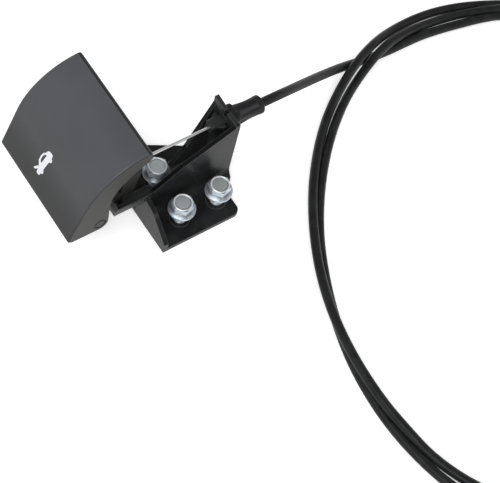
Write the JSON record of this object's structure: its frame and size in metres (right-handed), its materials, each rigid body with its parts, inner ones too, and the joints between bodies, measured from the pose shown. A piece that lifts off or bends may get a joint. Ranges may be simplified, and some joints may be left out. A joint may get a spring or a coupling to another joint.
{
  "type": "hood release handle",
  "caption": "Hood release handle: a black bracket with a wide curved pull lever on a pivot, flange bolts, a pull wire, and a sheathed cable laid in a loose coil.",
  "frame": {"origin": "on the mounting face of the bracket, 1.8 mm to the -X side and 1.5 mm to the -Y side of the point midway between the two front screw holes", "axes": "+X along the pull wire towards the cable, +Y from the front screws to the far side of the lever, +Z away from the mounting face"},
  "size_m": [0.3925, 0.3322, 0.0674],
  "materials": {
    "black_plastic": "black satin moulded plastic",
    "grey_plastic": "dark grey satin moulded plastic with a fine grain",
    "bolt_zinc": "bright zinc-plated steel with a bluish tint",
    "zinc_steel": "zinc-plated steel",
    "spring_steel": "dark spring steel",
    "bright_wire": "bright stranded steel wire",
    "cast_zinc": "dull cast zinc",
    "fitting_plastic": "black moulded plastic",
    "boot_rubber": "black moulded rubber",
    "cable_casing": "black satin cable casing"
  },
  "bodies": {
    "frame": {"bracket": "black_plastic", "pivot_pin": "zinc_steel", "pin_clip": "spring_steel", "front_left_bolt": "bolt_zinc", "front_right_bolt": "bolt_zinc", "rear_bolt": "bolt_zinc", "casing_end_fitting": "fitting_plastic", "cable_boot": "boot_rubber", "cable_lead": "cable_casing", "cable_coil": "cable_casing", "cable_tail": "cable_casing", "latch_end_ferrule": "zinc_steel"},
    "lever": {"lever": "grey_plastic"},
    "pull_wire": {"inner_wire": "bright_wire", "lever_end_nipple": "cast_zinc"},
    "latch_wire": {"latch_end_wire": "bright_wire", "latch_end_nipple": "cast_zinc"}
  },
  "joints": [
    {"name": "lever_pivot", "type": "hinge", "parent": "frame", "child": "lever", "pos_m": [-0.035, 0.0353, 0.0175], "axis": [0, -1, 0], "range_deg": [0, 28]},
    {"name": "wire_slide", "type": "slide", "parent": "frame", "child": "pull_wire", "axis": [-1, 0, 0], "range_m": [0, 0.01172]},
    {"name": "latch_slide", "type": "slide", "parent": "frame", "child": "latch_wire", "axis": [0.6626, 0.749, 0], "range_m": [0, 0.01172]}
  ],
  "couplings": [
    {"joint": "wire_slide", "follows": "lever_pivot", "m_per_rad": 0.023979},
    {"joint": "latch_slide", "follows": "lever_pivot", "m_per_rad": 0.023979}
  ]
}
